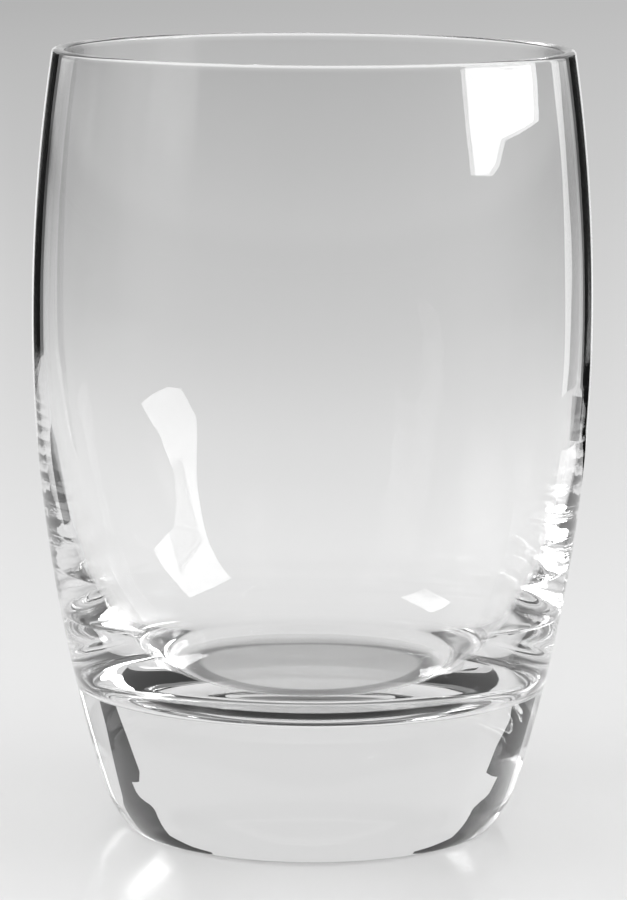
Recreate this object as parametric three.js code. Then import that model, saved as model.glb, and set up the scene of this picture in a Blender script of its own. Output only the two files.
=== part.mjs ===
// A rocks glass: a barrel-shaped tumbler of clear glass with a thin upper wall and a heavy solid base.
// Millimetres, +Z up. The origin is the centre of the underside, which stands on the table.
//
// The glass is turned about its axis in three zones that meet face to face on flat planes:
// the solid base, the blown bowl with its flat inner floor, and the fire-polished rim.

import * as THREE from "three";

// Outside shape
const HEIGHT = 107.4; // table to the top of the lip
const BELLY_DIAMETER = 77; // the widest place
const BELLY_HEIGHT = 70; // of the widest place above the table
const MOUTH_DIAMETER = 71.2; // outside, at the lip
const FOOT_DIAMETER = 54.4; // where the side, drawn on without its heel, meets the table
const HEEL_HEIGHT = 6; // where the side starts to tuck in towards the table
const HEEL_LEAN = 41; // degrees off upright that the tuck has reached at the table
const EDGE_RADIUS = 0.5; // rounding between the heel and the underside

// Inside shape
const WALL = 1.7; // thickness from the belly up to the lip
const WALL_SWELL = 2.4; // 2 thickens the wall straight below the belly, more leaves it thin further down
const LIP_RISE = 0.5; // of the rounded lip over the straight wall, less than half the wall for a flattened round
const BASE_THICKNESS = 19; // of glass under the middle of the inner floor
const FLOOR_FLATNESS = 8.5; // 2 is a round bottom, more is a flatter floor with a tighter corner

// Where the zones meet
const BOWL_FLOOR = 3; // thickness of the bowl's own floor on top of the base
const RIM_HEIGHT = 2; // of the lip ring

// Fineness of the curves
const TURN_STEPS = 64; // sides of every round section
const SIDE_STEPS = 6; // between two marked heights on the outside
const FLOOR_STEPS = 20; // from the belly to the middle of the inner floor
const HEEL_STEPS = 5;
const EDGE_STEPS = 3;
const LIP_STEPS = 8; // around the half round of the lip

// Sizes that follow from these
const BELLY_RADIUS = BELLY_DIAMETER / 2;
const MOUTH_RADIUS = MOUTH_DIAMETER / 2;
const FOOT_RADIUS = FOOT_DIAMETER / 2;
const LIP_CENTRE_HEIGHT = HEIGHT - LIP_RISE;
const BASE_TOP = BASE_THICKNESS - BOWL_FLOOR;
const RIM_SEAT = HEIGHT - RIM_HEIGHT;

// Outside radius at a height: one parabola below the belly and one above it, both upright at the belly.
function sideRadius(height) {
  const above = height > BELLY_HEIGHT;
  const endRadius = above ? MOUTH_RADIUS : FOOT_RADIUS;
  const span = above ? HEIGHT - BELLY_HEIGHT : BELLY_HEIGHT;
  const share = (height - BELLY_HEIGHT) / span;
  return BELLY_RADIUS + (endRadius - BELLY_RADIUS) * share * share;
}

// Angle of the lower side off upright at a height.
function sideLean(height) {
  const narrowing = BELLY_RADIUS - FOOT_RADIUS;
  return Math.atan((2 * narrowing * (BELLY_HEIGHT - height)) / BELLY_HEIGHT ** 2);
}

// Points of the outside between two heights, both ends included, moved in by a thickness.
function sidePoints(fromHeight, toHeight, inset = 0) {
  const points = [];
  for (let step = 0; step <= SIDE_STEPS; step += 1) {
    const height = fromHeight + ((toHeight - fromHeight) * step) / SIDE_STEPS;
    points.push(new THREE.Vector2(sideRadius(height) - inset, height));
  }
  return points;
}

// Points of an arc about a centre, both ends included. It is round unless it has a rise of its own.
function arcPoints(centre, radius, fromAngle, toAngle, steps, rise = radius) {
  const points = [];
  for (let step = 0; step <= steps; step += 1) {
    const angle = fromAngle + ((toAngle - fromAngle) * step) / steps;
    points.push(new THREE.Vector2(centre.x + radius * Math.cos(angle), centre.y + rise * Math.sin(angle)));
  }
  return points;
}

// The heel, from the flat underside up: a small edge arc, then a wide arc that runs into the leaning side.
function heelPoints() {
  const lean = sideLean(HEEL_HEIGHT);
  const radius = HEEL_HEIGHT / (Math.sin(THREE.MathUtils.degToRad(HEEL_LEAN)) - Math.sin(lean));
  const centre = new THREE.Vector2(
    sideRadius(HEEL_HEIGHT) - radius * Math.cos(lean),
    HEEL_HEIGHT + radius * Math.sin(lean),
  );
  const reach = radius - EDGE_RADIUS;
  const edgeLean = Math.asin((centre.y - EDGE_RADIUS) / reach);
  const edgeCentre = new THREE.Vector2(centre.x + reach * Math.cos(edgeLean), EDGE_RADIUS);
  const edge = arcPoints(edgeCentre, EDGE_RADIUS, -Math.PI / 2, -edgeLean, EDGE_STEPS);
  const tuck = arcPoints(centre, radius, -edgeLean, -lean, HEEL_STEPS);
  return [...edge, ...tuck.slice(1)];
}

// The inside below the belly, from the belly's height to the middle of the inner floor. It starts at the
// wall's thickness inside the outside, and turns into the floor along a superellipse.
function floorPoints() {
  const depth = BELLY_HEIGHT - BASE_THICKNESS;
  const points = [];
  for (let step = 0; step < FLOOR_STEPS; step += 1) {
    const angle = (Math.PI / 2) * (step / FLOOR_STEPS);
    const height = BELLY_HEIGHT - depth * Math.sin(angle) ** (2 / WALL_SWELL);
    const across = Math.cos(angle) ** (2 / FLOOR_FLATNESS);
    points.push(new THREE.Vector2((sideRadius(height) - WALL) * across, height));
  }
  points.push(new THREE.Vector2(0, BASE_THICKNESS));
  return points;
}

// The lip: a flattened half round over the thickness of the wall, from the outside to the inside.
function lipPoints() {
  const centre = new THREE.Vector2(sideRadius(LIP_CENTRE_HEIGHT) - WALL / 2, LIP_CENTRE_HEIGHT);
  return arcPoints(centre, WALL / 2, 0, Math.PI, LIP_STEPS, LIP_RISE);
}

function clearGlass(colour, opacity) {
  return new THREE.MeshStandardMaterial({
    color: colour,
    roughness: 0.03,
    metalness: 0,
    transparent: true,
    opacity,
  });
}

// A named mesh turned from its profile, with the axis brought upright.
function turned(name, profile, material) {
  const geometry = new THREE.LatheGeometry(profile, TURN_STEPS);
  geometry.rotateX(Math.PI / 2);
  const mesh = new THREE.Mesh(geometry, material);
  mesh.name = name;
  return mesh;
}

function heavyBase() {
  const heel = heelPoints();
  const heelTop = heel[heel.length - 1].y;
  const side = sidePoints(heelTop, BASE_TOP);
  const profile = [
    new THREE.Vector2(0, 0),
    ...heel,
    ...side.slice(1),
    new THREE.Vector2(0, BASE_TOP),
  ];
  return turned("heavy_base", profile, clearGlass(0xdfe1e1, 0.4));
}

function bowl() {
  const profile = [
    new THREE.Vector2(0, BASE_TOP),
    ...sidePoints(BASE_TOP, BELLY_HEIGHT),
    ...sidePoints(BELLY_HEIGHT, RIM_SEAT).slice(1),
    ...sidePoints(RIM_SEAT, BELLY_HEIGHT, WALL),
    ...floorPoints().slice(1),
  ];
  return turned("bowl", profile, clearGlass(0xeceeee, 0.3));
}

function rim() {
  const seatOutside = new THREE.Vector2(sideRadius(RIM_SEAT), RIM_SEAT);
  const seatInside = new THREE.Vector2(sideRadius(RIM_SEAT) - WALL, RIM_SEAT);
  const profile = [seatOutside, ...lipPoints(), seatInside, seatOutside.clone()];
  return turned("rim", profile, clearGlass(0xf7f8f8, 0.35));
}

const rocksGlass = new THREE.Group();
rocksGlass.name = "rocks_glass";
rocksGlass.add(heavyBase(), bowl(), rim());

export default rocksGlass;
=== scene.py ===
import math

import bpy
from bpy.props import FloatProperty, FloatVectorProperty, IntProperty, PointerProperty
from mathutils import Matrix, Vector


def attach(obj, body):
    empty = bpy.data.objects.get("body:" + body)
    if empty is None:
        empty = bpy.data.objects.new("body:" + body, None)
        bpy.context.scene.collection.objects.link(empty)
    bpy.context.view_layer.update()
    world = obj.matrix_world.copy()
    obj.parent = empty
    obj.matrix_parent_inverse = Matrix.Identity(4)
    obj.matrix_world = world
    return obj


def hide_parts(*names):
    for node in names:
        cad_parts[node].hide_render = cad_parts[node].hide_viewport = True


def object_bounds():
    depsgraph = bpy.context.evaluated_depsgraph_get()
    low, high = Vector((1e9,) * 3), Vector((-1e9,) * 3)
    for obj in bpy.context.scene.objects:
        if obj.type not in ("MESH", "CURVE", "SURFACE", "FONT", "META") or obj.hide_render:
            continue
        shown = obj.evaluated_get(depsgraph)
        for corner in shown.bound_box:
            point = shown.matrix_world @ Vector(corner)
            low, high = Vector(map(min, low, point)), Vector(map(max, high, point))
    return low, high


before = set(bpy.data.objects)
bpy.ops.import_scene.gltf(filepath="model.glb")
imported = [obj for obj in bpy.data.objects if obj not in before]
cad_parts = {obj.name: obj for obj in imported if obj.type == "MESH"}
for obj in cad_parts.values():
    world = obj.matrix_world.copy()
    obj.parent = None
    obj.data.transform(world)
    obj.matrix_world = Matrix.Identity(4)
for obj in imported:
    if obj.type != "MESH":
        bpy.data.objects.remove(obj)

bl_info = {
    "name": "Rocks Glass",
    "version": (1, 0, 0),
    "blender": (4, 5, 0),
    "location": "3D View > Sidebar > Rocks Glass",
    "description": "Turns a clear rocks glass over its solids and sets a pale studio round it",
    "category": "Add Mesh",
}

CAD_LOW, CAD_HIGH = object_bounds()
GLASS_ZONES = ("heavy_base", "bowl", "rim")

# Fineness of the turned glass
TURN_STEPS = 220
UNDERSIDE_RINGS = (0.35, 0.7, 0.9, 0.975, 0.995)  # shares of the flat disc's radius
EDGE_STEPS = 8
HEEL_STEPS = 14
SIDE_STEPS = 130
LIP_STEPS = 30
WALL_STEPS = 60  # inside, from the lip to the belly
FLOOR_STEPS = 150  # inside, from the belly to the middle of the floor
MERGE_DISTANCE = 1e-6


def srgb(hex_colour):
    """An sRGB hex colour as linear RGBA."""
    shares = [int(hex_colour[i:i + 2], 16) / 255 for i in (0, 2, 4)]
    return (*[s / 12.92 if s <= 0.04045 else ((s + 0.055) / 1.055) ** 2.4 for s in shares], 1.0)


class RocksGlassShape(bpy.types.PropertyGroup):
    """Sizes of the glass"""

    height: FloatProperty(
        name="Height", description="Table to the top of the lip",
        default=CAD_HIGH.z - CAD_LOW.z, subtype="DISTANCE", unit="LENGTH")
    belly_diameter: FloatProperty(
        name="Belly diameter", description="Widest place, outside",
        default=CAD_HIGH.x - CAD_LOW.x, subtype="DISTANCE", unit="LENGTH")
    belly_height: FloatProperty(
        name="Belly height", description="Height of the widest place",
        default=0.070, subtype="DISTANCE", unit="LENGTH")
    mouth_diameter: FloatProperty(
        name="Mouth diameter", description="Outside, at the lip",
        default=0.0712, subtype="DISTANCE", unit="LENGTH")
    foot_diameter: FloatProperty(
        name="Foot diameter", description="Where the side, drawn on without its heel, meets the table",
        default=0.0544, subtype="DISTANCE", unit="LENGTH")
    heel_height: FloatProperty(
        name="Heel height", description="Where the side starts to tuck in towards the table",
        default=0.006, subtype="DISTANCE", unit="LENGTH")
    heel_lean: FloatProperty(
        name="Heel lean", description="Angle off upright that the tuck has reached at the table",
        default=math.radians(41), subtype="ANGLE", unit="ROTATION")
    edge_radius: FloatProperty(
        name="Foot edge radius", description="Rounding between the heel and the underside",
        default=0.0005, subtype="DISTANCE", unit="LENGTH")
    wall: FloatProperty(
        name="Wall", description="Thickness from the belly up to the lip",
        default=0.0017, subtype="DISTANCE", unit="LENGTH")
    wall_swell: FloatProperty(
        name="Wall swell",
        description="2 thickens the wall straight below the belly, more leaves it thin longer",
        default=2.4, min=1.0)
    base_thickness: FloatProperty(
        name="Base thickness", description="Glass under the middle of the inner floor",
        default=0.019, subtype="DISTANCE", unit="LENGTH")
    lip_rise: FloatProperty(
        name="Lip rise", description="Height of the flattened round of the lip over the straight wall",
        default=0.0005, subtype="DISTANCE", unit="LENGTH")
    floor_flatness: FloatProperty(
        name="Floor flatness", description="2 is a round bottom, more is a flatter floor",
        default=8.5, min=2.0)
    ripple: FloatProperty(
        name="Wall ripple", description="How far the blown inner wall waves in and out",
        default=0.000035, subtype="DISTANCE", unit="LENGTH")


class RocksGlassStudio(bpy.types.PropertyGroup):
    """Colours and light of the studio"""

    table_colour: FloatVectorProperty(
        name="Table", description="White laminate near the glass",
        default=srgb("EBEBEB"), size=4, min=0, max=1, subtype="COLOR")
    backdrop_colour: FloatVectorProperty(
        name="Backdrop", description="Grey that the table fades to far behind the glass",
        default=srgb("B8B8B8"), size=4, min=0, max=1, subtype="COLOR")
    softbox_strength: FloatProperty(
        name="Softbox in the glass", description="Brightness of the softboxes as the glass shows them",
        default=6.0, min=0)
    lamp_strength: FloatProperty(
        name="Softbox on the table", description="Brightness of the softboxes as light on the table",
        default=2.4, min=0)
    glint_strength: FloatProperty(
        name="Glints on the table",
        description="Brightness of the softboxes in the light that the glass throws",
        default=6.0, min=0)
    room_strength: FloatProperty(
        name="Room light", description="Even light from all round", default=0.79, min=0)


def add_node(tree, kind, inputs=None, **settings):
    """A node with its settings. Each input is a value, or the output socket that it is linked to."""
    node = tree.nodes.new(kind)
    for name, value in settings.items():
        setattr(node, name, value)
    for key, value in (inputs or {}).items():
        if isinstance(value, bpy.types.NodeSocket):
            tree.links.new(value, node.inputs[key])
        else:
            node.inputs[key].default_value = value
    return node


def new_material(name):
    """An empty node material and its output node."""
    material = bpy.data.materials.new(name)
    material.use_nodes = True
    material.node_tree.nodes.clear()
    return material, material.node_tree, material.node_tree.nodes.new("ShaderNodeOutputMaterial")


# Shape of the glass


def side_radius(shape, height):
    """Outside radius at a height: one parabola below the belly and one above it, both upright there."""
    above = height > shape.belly_height
    end = (shape.mouth_diameter if above else shape.foot_diameter) / 2
    span = shape.height - shape.belly_height if above else shape.belly_height
    belly = shape.belly_diameter / 2
    return belly + (end - belly) * ((height - shape.belly_height) / span) ** 2


def arc(x, z, radius, start, end, steps, rise=None):
    """Points of an arc in the XZ plane, without its first one. It is round unless it has its own rise."""
    rise = radius if rise is None else rise
    angles = [start + (end - start) * i / steps for i in range(1, steps + 1)]
    return [Vector((x + radius * math.cos(a), 0, z + rise * math.sin(a))) for a in angles]


def heel_points(shape):
    """From the edge of the flat underside, round the small edge and up the wide tuck to the side."""
    narrowing = (shape.belly_diameter - shape.foot_diameter) / 2
    rise = shape.belly_height - shape.heel_height
    lean = math.atan(2 * narrowing * rise / shape.belly_height ** 2)
    radius = shape.heel_height / (math.sin(shape.heel_lean) - math.sin(lean))
    x = side_radius(shape, shape.heel_height) - radius * math.cos(lean)
    z = shape.heel_height + radius * math.sin(lean)
    reach = radius - shape.edge_radius
    edge_lean = math.asin((z - shape.edge_radius) / reach)
    edge_x = x + reach * math.cos(edge_lean)
    points = [Vector((edge_x, 0, 0))]
    points += arc(edge_x, shape.edge_radius, shape.edge_radius, -math.pi / 2, -edge_lean, EDGE_STEPS)
    points += arc(x, z, radius, -edge_lean, -lean, HEEL_STEPS)
    return points


def side_points(shape, start, end, steps, inset=0.0):
    """Points of the side between two heights, moved in by a thickness, without the first one."""
    heights = [start + (end - start) * i / steps for i in range(1, steps + 1)]
    return [Vector((side_radius(shape, h) - inset, 0, h)) for h in heights]


def floor_points(shape):
    """The inside below the belly, down the wall and along the floor to its middle: a superellipse."""
    depth = shape.belly_height - shape.base_thickness
    points = []
    for step in range(1, FLOOR_STEPS):
        angle = math.pi / 2 * step / FLOOR_STEPS
        height = shape.belly_height - depth * math.sin(angle) ** (2 / shape.wall_swell)
        across = math.cos(angle) ** (2 / shape.floor_flatness)
        points.append(Vector(((side_radius(shape, height) - shape.wall) * across, 0, height)))
    points.append(Vector((0, 0, shape.base_thickness)))
    return points


def glass_profile(shape):
    """From the middle of the underside, up the outside, over the lip and down to the inner floor."""
    heel = heel_points(shape)
    lip = shape.wall / 2
    lip_height = shape.height - shape.lip_rise
    lip_x = side_radius(shape, lip_height) - lip
    points = [Vector((0, 0, 0))]
    points += [Vector((heel[0].x * share, 0, 0)) for share in UNDERSIDE_RINGS]
    points += heel
    points += side_points(shape, heel[-1].z, lip_height, SIDE_STEPS)
    points += arc(lip_x, lip_height, lip, 0, math.pi, LIP_STEPS, shape.lip_rise)
    points += side_points(shape, lip_height, shape.belly_height, WALL_STEPS, shape.wall)
    points += floor_points(shape)
    return points


def draw_chain(name, points):
    """A mesh of one chain of edges, drawn by extruding a vertex from point to point, in edit mode."""
    bpy.ops.object.select_all(action="DESELECT")
    bpy.ops.mesh.primitive_plane_add(size=0.01)
    chain = bpy.context.object
    chain.name = name
    bpy.ops.object.mode_set(mode="EDIT")
    bpy.ops.mesh.merge(type="CENTER")
    bpy.ops.transform.translate(value=points[0])
    for here, there in zip(points, points[1:]):
        bpy.ops.mesh.extrude_vertices_move(TRANSFORM_OT_translate={"value": there - here})
    bpy.ops.mesh.select_all(action="SELECT")
    return chain


def turn_solid(name, profile):
    """A closed solid turned about Z from its profile, with its seam and poles merged."""
    solid = draw_chain(name, profile)
    bpy.ops.mesh.spin(steps=TURN_STEPS, angle=2 * math.pi, center=(0, 0, 0), axis=(0, 0, 1))
    bpy.ops.mesh.select_all(action="SELECT")
    bpy.ops.mesh.remove_doubles(threshold=MERGE_DISTANCE)
    bpy.ops.mesh.normals_make_consistent(inside=False)
    bpy.ops.object.mode_set(mode="OBJECT")
    bpy.ops.object.shade_smooth()
    return solid


def flat_panel(name, corners):
    """A flat panel with these corners, hidden from the camera."""
    panel = draw_chain(name, [Vector(c) for c in corners])
    bpy.ops.mesh.edge_face_add()
    bpy.ops.object.mode_set(mode="OBJECT")
    panel.visible_camera = False
    panel.visible_diffuse = False
    panel.visible_shadow = False
    return panel


RIPPLE_WIDTH = 0.011  # of one wave round the wall
RIPPLE_STRETCH = 7.0  # waves are this much taller than wide, as drawn glass has them
RIPPLE_FADE = 0.02  # from the lip and the floor, where the wall is still


def ripple_wall(piece, shape):
    """Waves the inner wall a little in and out, as a blown wall is never quite even."""
    group = piece.vertex_groups.new(name="inner_wall")
    for vertex in piece.data.vertices:
        x, y, z = vertex.co
        if z > shape.base_thickness and math.hypot(x, y) < side_radius(shape, z) - 0.9 * shape.wall:
            weight = min((shape.height - z) / RIPPLE_FADE, (z - shape.base_thickness) / RIPPLE_FADE, 1.0)
            group.add([vertex.index], weight, "REPLACE")
    waves = bpy.data.textures.new("wall_waves", "CLOUDS")
    waves.noise_scale = 1.0
    bpy.ops.object.select_all(action="DESELECT")
    bpy.ops.object.empty_add()
    stretch = bpy.context.object
    stretch.scale = (RIPPLE_WIDTH, RIPPLE_WIDTH, RIPPLE_WIDTH * RIPPLE_STRETCH)
    bpy.context.view_layer.objects.active = piece
    bpy.ops.object.modifier_add(type="DISPLACE")
    displace = piece.modifiers[-1]
    displace.texture = waves
    displace.texture_coords = "OBJECT"
    displace.texture_coords_object = stretch
    displace.vertex_group = group.name
    displace.strength = 2 * shape.ripple
    bpy.ops.object.modifier_apply(modifier=displace.name)
    piece.vertex_groups.clear()
    bpy.data.objects.remove(stretch)
    bpy.data.textures.remove(waves)


# Materials

CORD_WIDTH = 0.003  # of one streak in the glass
CORD_STRETCH = 0.06  # streaks run up the wall, so they are this much slower along it
CORD_HEIGHT = 0.00002
SMEAR_SIZE = 0.012  # of one patch of duller polish
SMEAR_ROUGHNESS = 0.015


def clear_glass():
    """Soda-lime glass, blown and fire-polished: clear, with faint upright streaks left by the blowing."""
    material, tree, output = new_material("soda_lime_glass_fire_polished")
    place = add_node(tree, "ShaderNodeTexCoord")
    along = add_node(tree, "ShaderNodeMapping", {
        "Vector": place.outputs["Object"], "Scale": (1.0, 1.0, CORD_STRETCH)})
    streaks = add_node(tree, "ShaderNodeTexNoise", {
        "Vector": along.outputs["Vector"], "Scale": 1 / CORD_WIDTH, "Detail": 2.0, "Roughness": 0.5})
    bump = add_node(tree, "ShaderNodeBump", {
        "Height": streaks.outputs["Fac"], "Strength": 0.15, "Distance": CORD_HEIGHT})
    smear = add_node(tree, "ShaderNodeTexNoise", {
        "Vector": place.outputs["Object"], "Scale": 1 / SMEAR_SIZE, "Detail": 3.0})
    polish = add_node(tree, "ShaderNodeMapRange", {
        "Value": smear.outputs["Fac"], "From Min": 0.45, "From Max": 0.75,
        "To Min": 0.0, "To Max": SMEAR_ROUGHNESS})
    glass = add_node(tree, "ShaderNodeBsdfPrincipled", {
        "Base Color": srgb("FEFEFE"),
        "Roughness": polish.outputs["Result"],
        "IOR": 1.52,
        "Transmission Weight": 1.0,
        "Normal": bump.outputs["Normal"],
    })
    path = add_node(tree, "ShaderNodeLightPath")
    lit_through = add_node(tree, "ShaderNodeBsdfTransparent", {"Color": srgb("E2E2E2")})
    mix = add_node(tree, "ShaderNodeMixShader", {
        0: path.outputs["Is Shadow Ray"], 1: glass.outputs["BSDF"], 2: lit_through.outputs["BSDF"]})
    tree.links.new(mix.outputs["Shader"], output.inputs["Surface"])
    return material


TABLE_REACH = 6.0
TABLE_SIDES = 128
TABLE_DROP = 0.0002  # keeps the table's face off the underside of the glass
FADE_STOPS = (  # metres from the glass, share of the backdrop's grey, a painted falloff of light that darkens the table with distance
    (0.0, 0.0), (0.1, 0.0), (0.25, 0.08), (0.5, 0.28), (1.0, 0.57), (2.1, 0.96), (3.0, 1.0))
SIDE_STOPS = (  # degrees off straight behind, tone of that grey: painted light, darker to the left and lighter to the right
    (-180, 1.0), (-40, 1.0), (-6, 0.93), (0, 1.0), (6, 1.07), (40, 1.0), (180, 1.0))
THROUGH_STOPS = (  # the same, for what the glass shows: painted shade, darker to both sides of straight behind and darkest on the left
    (-180, 1.0), (-60, 1.0), (-36, 0.36), (-17, 0.36), (-12, 0.4), (-8, 0.62), (-6, 0.87),
    (6, 0.87), (10, 0.62), (36, 0.75), (60, 1.0), (180, 1.0))
HORIZON_FADE = (2.4, 5.0)  # metres over which these tones are lost, so that the table meets the backdrop
SHADE_EDGES = (  # ring of shade under the foot: place behind the axis, depth, width, tones within and outside
    (0.0058, 0.0138, 0.0185, 0.0, 1.0),
    (0.0010, 0.0196, 0.0245, 1.0, 0.0),
)
SHADE_BLUR = 0.0005
SHADE_TONES = (0.0, 0.4)  # as the base and as the bowl show it
GLOW_STOPS = (  # metres, share of a painted glow on the table round the foot, standing in for light that the base gathers there, as the bowl shows it
    (0.0, 0.0), (0.0215, 0.0), (0.025, 0.8), (0.05, 0.6), (0.1, 0.0))
BOWL_FACES = 2.5  # light that has passed more faces of glass than this has been inside the bowl


def ramp(tree, socket, stops):
    """A grey ramp over a value that runs from the first to the last of the stops."""
    low, high = stops[0][0], stops[-1][0]
    share = add_node(tree, "ShaderNodeMapRange", {"Value": socket, "From Min": low, "From Max": high})
    node = add_node(tree, "ShaderNodeValToRGB", {"Fac": share.outputs["Result"]})
    while len(node.color_ramp.elements) < len(stops):
        node.color_ramp.elements.new(1.0)
    for element, (place, grey) in zip(node.color_ramp.elements, stops):
        element.position = (place - low) / (high - low)
        element.color = (grey, grey, grey, 1.0)
    return node.outputs["Color"]


def white_laminate(studio):
    """White laminate with a satin face: pale, with painted shade under the foot and a painted glow round it,
    fading with distance to the backdrop's grey as painted falloff of light.
    """
    material, tree, output = new_material("white_laminate_satin")
    place = add_node(tree, "ShaderNodeTexCoord").outputs["Object"]
    away = add_node(tree, "ShaderNodeVectorMath", {0: place}, operation="LENGTH").outputs["Value"]
    ring = 1.0
    for behind, depth, width, near, far in SHADE_EDGES:
        wide = add_node(tree, "ShaderNodeVectorMath", {
            0: place, 1: (depth / width, 1.0, 1.0)}, operation="MULTIPLY")
        off = add_node(tree, "ShaderNodeVectorMath", {
            0: wide.outputs["Vector"], 1: (0.0, behind, 0.0)}, operation="DISTANCE")
        within = add_node(tree, "ShaderNodeMapRange", {
            "Value": off.outputs["Value"], "From Min": depth - SHADE_BLUR, "From Max": depth + SHADE_BLUR,
            "To Min": near, "To Max": far})
        ring = add_node(tree, "ShaderNodeMath", {
            0: within.outputs["Result"], 1: ring}, operation="MULTIPLY").outputs["Value"]
    path = add_node(tree, "ShaderNodeLightPath")
    inside = add_node(tree, "ShaderNodeMath", {
        0: path.outputs["Transmission Depth"], 1: BOWL_FACES}, operation="GREATER_THAN").outputs["Value"]
    darkest = add_node(tree, "ShaderNodeMapRange", {
        "Value": inside, "To Min": SHADE_TONES[0], "To Max": SHADE_TONES[1]})
    tone = add_node(tree, "ShaderNodeMapRange", {
        "Value": ring, "To Min": 1.0, "To Max": darkest.outputs["Result"]})
    shaded = add_node(tree, "ShaderNodeVectorMath", {
        0: studio.table_colour[:3], "Scale": tone.outputs["Result"]}, operation="SCALE")
    face = add_node(tree, "ShaderNodeBsdfPrincipled", {
        "Base Color": shaded.outputs["Vector"], "Roughness": 0.2, "Specular IOR Level": 0.35})
    axes = add_node(tree, "ShaderNodeSeparateXYZ", {0: place})
    turn = add_node(tree, "ShaderNodeMath", {0: axes.outputs["X"], 1: axes.outputs["Y"]}, operation="ARCTAN2")
    degrees = add_node(tree, "ShaderNodeMath", {
        0: turn.outputs["Value"]}, operation="DEGREES").outputs["Value"]
    through = add_node(tree, "ShaderNodeMix", {
        "Factor": path.outputs["Is Camera Ray"], "A": ramp(tree, degrees, THROUGH_STOPS), "B": 1.0},
        data_type="FLOAT")
    sides = add_node(tree, "ShaderNodeMath", {
        0: ramp(tree, degrees, SIDE_STOPS), 1: through.outputs["Result"]}, operation="MULTIPLY")
    horizon = add_node(tree, "ShaderNodeMapRange", {
        "Value": away, "From Min": HORIZON_FADE[0], "From Max": HORIZON_FADE[1]})
    tones = add_node(tree, "ShaderNodeMix", {
        "Factor": horizon.outputs["Result"], "A": sides.outputs["Value"], "B": 1.0}, data_type="FLOAT")
    # painted falloff of light: far off, the table glows in the backdrop's grey at the tones above
    far = add_node(tree, "ShaderNodeEmission", {
        "Color": studio.backdrop_colour, "Strength": tones.outputs["Result"]})
    # painted light: the table glows in its own colour round the foot, as the bowl shows it
    painted_glow_light = add_node(tree, "ShaderNodeEmission", {"Color": studio.table_colour})
    share = add_node(tree, "ShaderNodeMath", {
        0: ramp(tree, away, GLOW_STOPS), 1: inside}, operation="MULTIPLY")
    glow = add_node(tree, "ShaderNodeMixShader", {
        0: share.outputs["Value"], 1: face.outputs["BSDF"], 2: painted_glow_light.outputs["Emission"]})
    mix = add_node(tree, "ShaderNodeMixShader", {
        0: ramp(tree, away, FADE_STOPS), 1: glow.outputs["Shader"], 2: far.outputs["Emission"]})
    tree.links.new(mix.outputs["Shader"], output.inputs["Surface"])
    return material


TABLE_GLOSS_REACH = 0.1  # the table is not to mirror the panels that lie on it
OUTSIDE = (0, 0)  # faces of glass passed by light that is only mirrored
BASE_ONLY = (2, 2)  # by light through the solid base
FRONT = (0, 2)  # by light that only meets the outside or one wall
INSIDE = (3, 99)  # by light that has been inside the bowl
STRAIGHT = (0, 0)  # times that the light is mirrored
MIRRORED = (1, 99)
TRAPPED = (4, 99)  # as happens to light that is caught in the base or the wall
EITHER = (0, 99)
TABLE_ONLY = (99, 99)  # faces that no light passes, for a panel that only throws light on the table


def studio_cloth(name, shade, on_table, faces, mirrors=EITHER):
    """Cloth on a studio panel: the glass shows it at one shade, and it lights the table at another."""
    material, tree, output = new_material(name)
    path = add_node(tree, "ShaderNodeLightPath")
    table = add_node(tree, "ShaderNodeMath", {
        0: path.outputs["Diffuse Depth"], 1: 0.5}, operation="GREATER_THAN").outputs["Value"]
    nearest = 0.0 if faces[0] else TABLE_GLOSS_REACH
    within = add_node(tree, "ShaderNodeMath", {
        0: path.outputs["Ray Length"], 1: nearest}, operation="GREATER_THAN").outputs["Value"]
    for part, (low, high) in (("Transmission Depth", faces), ("Glossy Depth", mirrors)):
        for operation, limit in (("GREATER_THAN", low - 0.5), ("LESS_THAN", high + 0.5)):
            test = add_node(tree, "ShaderNodeMath", {0: path.outputs[part], 1: limit}, operation=operation)
            within = add_node(tree, "ShaderNodeMath", {
                0: within, 1: test.outputs["Value"]}, operation="MULTIPLY").outputs["Value"]
    shown = add_node(tree, "ShaderNodeMix", {
        "Factor": table, "A": within, "B": 1.0 if on_table else 0.0}, data_type="FLOAT")
    level = add_node(tree, "ShaderNodeMapRange", {"Value": table, "To Min": shade, "To Max": on_table})
    light = add_node(tree, "ShaderNodeEmission", {"Strength": level.outputs["Result"]})
    gap = add_node(tree, "ShaderNodeBsdfTransparent")
    mix = add_node(tree, "ShaderNodeMixShader", {
        0: shown.outputs["Result"], 1: gap.outputs["BSDF"], 2: light.outputs["Emission"]})
    tree.links.new(mix.outputs["Shader"], output.inputs["Surface"])
    material.cycles.emission_sampling = "NONE"
    return material


# Of the backdrop that the glass shows. Heights are sines of the angle above level.
LIFT_HEIGHTS = (0.028, 0.3)  # where it is brightest, as the base and as the bowl show it
LIFT_TONE = 0.71
ROOM_TURN = (95, 125)  # degrees off straight behind over which the room falls dark towards the camera
ROOM_HEIGHT = 0.3  # where it is darkest there
ROOM_TONE = 0.12
OVERHEAD = (0.45, 0.65)  # heights over which it falls dark overhead
OVERHEAD_TONE = 0.3


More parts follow.
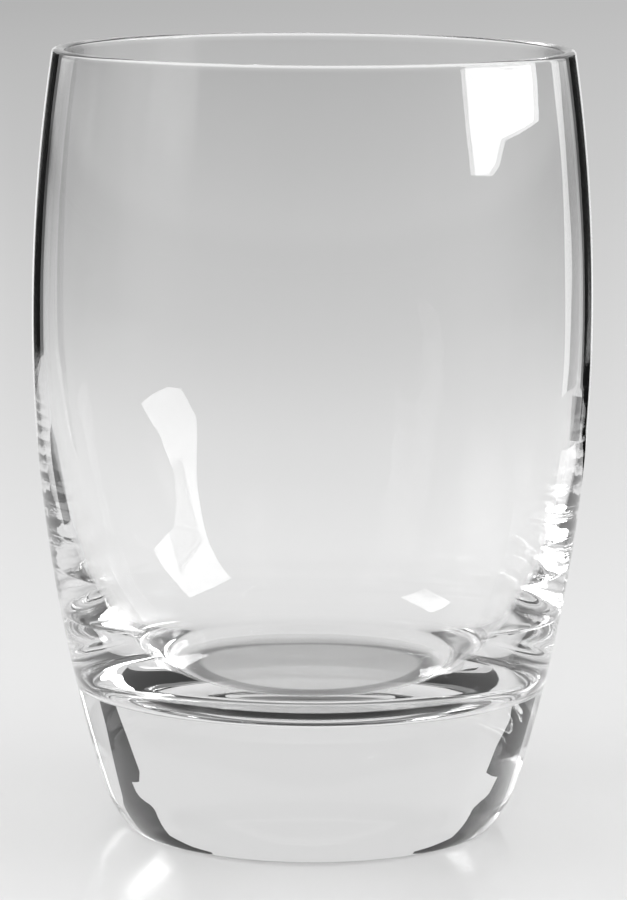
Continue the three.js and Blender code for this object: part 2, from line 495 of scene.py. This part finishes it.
def studio_world(studio):
    """Even light for the table, and a backdrop that brightens upwards for what the glass shows."""
    world = bpy.data.worlds.new("studio")
    world.use_nodes = True
    world.cycles.sampling_method = "NONE"
    tree = world.node_tree
    tree.nodes.clear()
    path = add_node(tree, "ShaderNodeLightPath")
    place = add_node(tree, "ShaderNodeTexCoord")
    axes = add_node(tree, "ShaderNodeSeparateXYZ", {0: place.outputs["Generated"]})
    height = axes.outputs["Z"]
    inside = add_node(tree, "ShaderNodeMath", {
        0: path.outputs["Transmission Depth"], 1: BOWL_FACES}, operation="GREATER_THAN")
    rise = add_node(tree, "ShaderNodeMapRange", {
        "Value": inside.outputs["Value"], "To Min": LIFT_HEIGHTS[0], "To Max": LIFT_HEIGHTS[1]})
    lift = add_node(tree, "ShaderNodeMapRange", {
        "Value": height, "From Min": 0.0, "From Max": rise.outputs["Result"],
        "To Min": studio.backdrop_colour[0], "To Max": LIFT_TONE})
    turn = add_node(tree, "ShaderNodeMath", {0: axes.outputs["X"], 1: axes.outputs["Y"]}, operation="ARCTAN2")
    aside = add_node(tree, "ShaderNodeMath", {0: turn.outputs["Value"]}, operation="ABSOLUTE")
    front = add_node(tree, "ShaderNodeMapRange", {
        "Value": height, "From Min": 0.0, "From Max": ROOM_HEIGHT, "To Min": 1.0, "To Max": ROOM_TONE},
        interpolation_type="SMOOTHSTEP")
    room = add_node(tree, "ShaderNodeMapRange", {
        "Value": aside.outputs["Value"],
        "From Min": math.radians(ROOM_TURN[0]), "From Max": math.radians(ROOM_TURN[1]),
        "To Min": 1.0, "To Max": front.outputs["Result"]}, interpolation_type="SMOOTHSTEP")
    overhead = add_node(tree, "ShaderNodeMapRange", {
        "Value": height, "From Min": OVERHEAD[0], "From Max": OVERHEAD[1],
        "To Min": 1.0, "To Max": OVERHEAD_TONE},
        interpolation_type="SMOOTHSTEP")
    backdrop = lift.outputs["Result"]
    for part in (room, overhead):
        backdrop = add_node(tree, "ShaderNodeMath", {
            0: backdrop, 1: part.outputs["Result"]}, operation="MULTIPLY").outputs["Value"]
    on_table = add_node(tree, "ShaderNodeMath", {
        0: path.outputs["Diffuse Depth"], 1: 0.5}, operation="GREATER_THAN")
    shown = add_node(tree, "ShaderNodeMix", {
        "Factor": path.outputs["Is Camera Ray"], "A": backdrop, "B": studio.backdrop_colour[0]},
        data_type="FLOAT")
    level = add_node(tree, "ShaderNodeMix", {
        "Factor": on_table.outputs["Value"], "A": shown.outputs["Result"], "B": studio.room_strength},
        data_type="FLOAT")
    light = add_node(tree, "ShaderNodeBackground", {
        "Color": srgb("FFFFFF"), "Strength": level.outputs["Result"]})
    output = add_node(tree, "ShaderNodeOutputWorld")
    tree.links.new(light.outputs["Background"], output.inputs["Surface"])
    bpy.context.scene.world = world


# Studio

SOFTBOX_X = 0.55
FRONT_PANEL = (
    (-0.22, 0.126), (-0.13, 0.119), (-0.09, 0.123), (-0.05, 0.136), (0.03, 0.133), (0.17, 0.129),
    (0.19, 0.15), (0.20, 0.60), (-0.24, 0.60), (-0.235, 0.165))  # y, z at SOFTBOX_X
INSIDE_PANEL = (
    (-0.02, 0.050), (-0.17, 0.053), (-0.27, 0.062), (-0.35, 0.100), (-0.34, 0.125), (-0.29, 0.18),
    (-0.28, 0.30), (-0.30, 0.66), (0.20, 0.555), (0.12, 0.32), (0.12, 0.17), (-0.06, 0.19),
    (-0.13, 0.165), (-0.155, 0.13), (-0.11, 0.085))  # y, z at SOFTBOX_X
LEFT_PANEL = ((0.02, 0.49), (0.34, 0.42), (0.63, 0.81), (0.03, 0.83))  # y, z at -SOFTBOX_X
TOP_PANEL = ((-0.8, -0.3, 1.0), (0.8, -0.3, 1.0), (0.8, 1.0, 1.0), (-0.8, 1.0, 1.0))
TOP_STRENGTH = 1.4
LAMP_PLACES = ((0.56, -0.09, 0.34), (-0.56, -0.09, 0.34))
LAMP_SIZE = 0.44
BOARDS = (  # side, inner and outer edge (degrees off straight behind), near end, layer, shade, faces, mirrors
    ("right_white", 1, 4.6, 16, 0.30, 3, 1.1, OUTSIDE, MIRRORED),
    ("left_white", -1, 4.6, 16, 0.30, 3, 1.1, OUTSIDE, MIRRORED),
    ("right_black", 1, 6, 32, 0.26, 2, 0.01, FRONT, MIRRORED),
    ("left_black", -1, 6, 32, 0.35, 2, 0.01, FRONT, MIRRORED),
    ("right_grey", 1, 16, 23, 0.30, 1, 0.05, INSIDE, EITHER),
    ("right_light", 1, 12, 15.7, 0.30, 1, 1.0, INSIDE, EITHER),
)
CARD_LAYER = 4
CARDS = (  # corners on the table, shade, mirrors
    # painted light: a card brighter than white, standing in for a patch of light on the table that the base
    # shows
    ("right_light", (
        (0.075, 0.09), (0.095, 0.15), (0.125, 0.155), (0.15, 0.11), (0.11, 0.07)),
     1.3, MIRRORED),
    ("right_dark", ((0.102, 0.178), (0.147, 0.142), (0.216, 0.208), (0.15, 0.26)), 0.05, MIRRORED),
    ("left_dark", (
        (-0.14, 0.156), (-0.165, 0.16), (-0.145, 0.122), (-0.118, 0.092), (-0.085, 0.062), (-0.07, 0.072)),
     0.02, MIRRORED),
    ("front_dark", ((-0.09, -0.1), (0.09, -0.1), (0.13, -0.21), (-0.13, -0.21)), 0.02, TRAPPED),
)
BOARD_LAYER = 0.0005  # height of one layer of boards on the table
BOARD_STEP = 0.05  # by which the end of each layer stands before the end of the one below
BOARD_FAR = 3.0
BOARD_BACK = 0.35  # height of the upright far end
FLAG_DISTANCE = 1.0
FLAG_GAP = 0.02  # between a flag and the one behind it
FLAG_SHADE = 0.013
FLAG_TURN = 45  # degrees off straight behind that a flag faces
FLAG_FROM = (0.0, 0.02, 0.015)  # where the directions are taken from, inside the base
RIGHT_FLAG = (  # degrees off straight behind, degrees up
    (46, 5.5), (43, 7.2), (41, 7.6), (39, 8.2), (40.5, 8.9), (44.6, 10.0), (42, 10.2), (38.7, 11.6),
    (36, 14.7), (34.5, 20.8), (27.6, 22.8), (22, 22.8), (22, 25), (40, 36), (61, 36), (58, 19), (55, 13),
    (52.5, 10), (54, 7))
LEFT_FLAG = (
    (46, 5.5), (46.8, 7.6), (48, 8.6), (43.9, 8.5), (42, 8.9), (50, 11.2), (44, 10.9), (39.5, 14.4),
    (36, 22), (29, 22.8), (24, 22.8), (24, 25), (40, 36), (64, 36), (68, 20), (68, 8))
FLAG_BEHIND = ((24, 1), (75, 1), (75, 38), (24, 38))  # as the base shows it from its depth

CAMERA_PLACE = (0.00025, -0.5609, 0.14297)
CAMERA_PITCH = 9.219  # degrees below level
CAMERA_ROLL = 0.33
CAMERA_LENS = 164.36


def lay_table(studio):
    """The table that the glass stands on."""
    bpy.ops.object.select_all(action="DESELECT")
    bpy.ops.mesh.primitive_circle_add(
        vertices=TABLE_SIDES, radius=TABLE_REACH, fill_type="NGON", location=(0, 0, -TABLE_DROP))
    table = bpy.context.object
    table.name = "table"
    bpy.ops.object.transform_apply(location=True)
    table.data.materials.append(white_laminate(studio))


def hang_softboxes(studio):
    """Softboxes at both sides: panels that the glass shows, and lamps in the same places for the table."""
    front = studio_cloth("softbox_cloth_front", studio.softbox_strength, studio.glint_strength, FRONT)
    unseen = studio_cloth("softbox_cloth_unseen", 0.0, studio.glint_strength, TABLE_ONLY)
    inside = studio_cloth("softbox_cloth_inside", studio.softbox_strength, 0.0, INSIDE)
    for name, x, outline, cloth in (
        ("softbox_right_front", SOFTBOX_X, FRONT_PANEL, front),
        ("softbox_right_inside", SOFTBOX_X, INSIDE_PANEL, inside),
        ("softbox_left_inside", -SOFTBOX_X, LEFT_PANEL, inside),
        ("softbox_left_front", -SOFTBOX_X, FRONT_PANEL, unseen),
    ):
        panel = flat_panel(name, [(x, y, z) for y, z in outline])
        panel.data.materials.append(cloth)
    top = flat_panel("softbox_top", TOP_PANEL)
    top.data.materials.append(studio_cloth("softbox_cloth_top", TOP_STRENGTH, 0.0, OUTSIDE))
    for place in LAMP_PLACES:
        bpy.ops.object.light_add(type="AREA", location=place)
        lamp = bpy.context.object
        lamp.data.shape = "SQUARE"
        lamp.data.size = LAMP_SIZE
        lamp.data.energy = studio.lamp_strength * math.pi * LAMP_SIZE ** 2
        lamp.rotation_mode = "QUATERNION"
        lamp.rotation_quaternion = Vector(place).to_track_quat("Z", "Y")
        lamp.visible_camera = False
        lamp.visible_glossy = False
        lamp.visible_transmission = False


def set_flags():
    """Boards and cards on the table and black flags beside it, which give the glass its dark edges."""
    for name, sign, inner, outer, close, layer, shade, faces, mirrors in BOARDS:
        slopes = [math.tan(math.radians(azimuth)) for azimuth in (inner, outer)]
        ends = (close, BOARD_FAR - layer * BOARD_STEP)
        height = layer * BOARD_LAYER
        near, far = [[(sign * (CAD_HIGH.x + y * slope), y, height) for slope in slopes] for y in ends]
        top = [(x, y, BOARD_BACK + height) for x, y, z in far]
        felt = studio_cloth("felt_" + name, shade, 0.0, faces, mirrors)
        for part, corners in (("flat_", near + far[::-1]), ("back_", far + top[::-1])):
            board = flat_panel(part + name, corners)
            board.data.materials.append(felt)
    for name, corners, shade, mirrors in CARDS:
        card = flat_panel("card_" + name, [(x, y, CARD_LAYER * BOARD_LAYER) for x, y in corners])
        card.data.materials.append(studio_cloth("card_" + name, shade, 0.0, BASE_ONLY, mirrors))
    for name, sign, distance, outline, mirrors in (
        ("flag_right", 1, FLAG_DISTANCE, RIGHT_FLAG, STRAIGHT),
        ("flag_left", -1, FLAG_DISTANCE, LEFT_FLAG, STRAIGHT),
        ("flag_right_behind", 1, FLAG_DISTANCE + FLAG_GAP, FLAG_BEHIND, TRAPPED),
        ("flag_left_behind", -1, FLAG_DISTANCE + FLAG_GAP, FLAG_BEHIND, TRAPPED),
    ):
        corners = []
        for azimuth, elevation in outline:
            reach = distance / math.cos(math.radians(azimuth - FLAG_TURN))
            turn, rise = math.radians(sign * azimuth), math.radians(elevation)
            away = Vector((math.sin(turn), math.cos(turn), math.tan(rise)))
            corners.append(Vector(FLAG_FROM) + reach * away)
        flag = flat_panel(name, corners)
        flag.data.materials.append(studio_cloth("felt_" + name, FLAG_SHADE, 0.0, BASE_ONLY, mirrors))


def place_camera():
    """The camera at the photograph's angle."""
    bpy.ops.object.camera_add()
    camera = bpy.context.object
    pitch = Matrix.Rotation(math.radians(90 - CAMERA_PITCH), 4, "X")
    roll = Matrix.Rotation(math.radians(CAMERA_ROLL), 4, "Z")
    camera.matrix_world = Matrix.Translation(CAMERA_PLACE) @ pitch @ roll
    camera.data.lens = CAMERA_LENS
    camera.data.clip_start = 0.01
    bpy.context.scene.camera = camera


class ROCKSGLASS_OT_glass(bpy.types.Operator):
    """Turn the glass from its profile, with the slight waves of a blown wall"""

    bl_idname = "rocks_glass.glass"
    bl_label = "Rocks Glass"

    def execute(self, context):
        shape = context.scene.rocks_glass_shape
        piece = turn_solid("tumbler", glass_profile(shape))
        ripple_wall(piece, shape)
        piece.data.materials.append(clear_glass())
        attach(piece, "root")
        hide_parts(*GLASS_ZONES)
        return {"FINISHED"}


class ROCKSGLASS_OT_stage(bpy.types.Operator):
    """Lay the table, hang the softboxes, set the flags and place the camera"""

    bl_idname = "rocks_glass.stage"
    bl_label = "Studio"

    def execute(self, context):
        studio = context.scene.rocks_glass_studio
        lay_table(studio)
        hang_softboxes(studio)
        set_flags()
        studio_world(studio)
        place_camera()
        context.scene.view_settings.view_transform = "Standard"
        context.scene.cycles.max_bounces = 64
        context.scene.cycles.glossy_bounces = 48
        context.scene.cycles.transmission_bounces = 48
        context.scene.cycles.transparent_max_bounces = 24
        return {"FINISHED"}


class ROCKSGLASS_PT_panel(bpy.types.Panel):
    """Sizes, colours and steps of the rocks glass"""

    bl_label = "Rocks Glass"
    bl_space_type = "VIEW_3D"
    bl_region_type = "UI"
    bl_category = "Rocks Glass"

    def draw(self, context):
        for group in (context.scene.rocks_glass_shape, context.scene.rocks_glass_studio):
            for name in group.__annotations__:
                self.layout.prop(group, name)
        for step in (ROCKSGLASS_OT_glass, ROCKSGLASS_OT_stage):
            self.layout.operator(step.bl_idname)


CLASSES = (RocksGlassShape, RocksGlassStudio, ROCKSGLASS_OT_glass, ROCKSGLASS_OT_stage, ROCKSGLASS_PT_panel)


def register():
    for item in CLASSES:
        bpy.utils.register_class(item)
    bpy.types.Scene.rocks_glass_shape = PointerProperty(type=RocksGlassShape)
    bpy.types.Scene.rocks_glass_studio = PointerProperty(type=RocksGlassStudio)


def unregister():
    del bpy.types.Scene.rocks_glass_studio
    del bpy.types.Scene.rocks_glass_shape
    for item in reversed(CLASSES):
        bpy.utils.unregister_class(item)


def main():
    register()
    bpy.ops.rocks_glass.glass()
    bpy.ops.rocks_glass.stage()


if __name__ == "__main__":
    main()
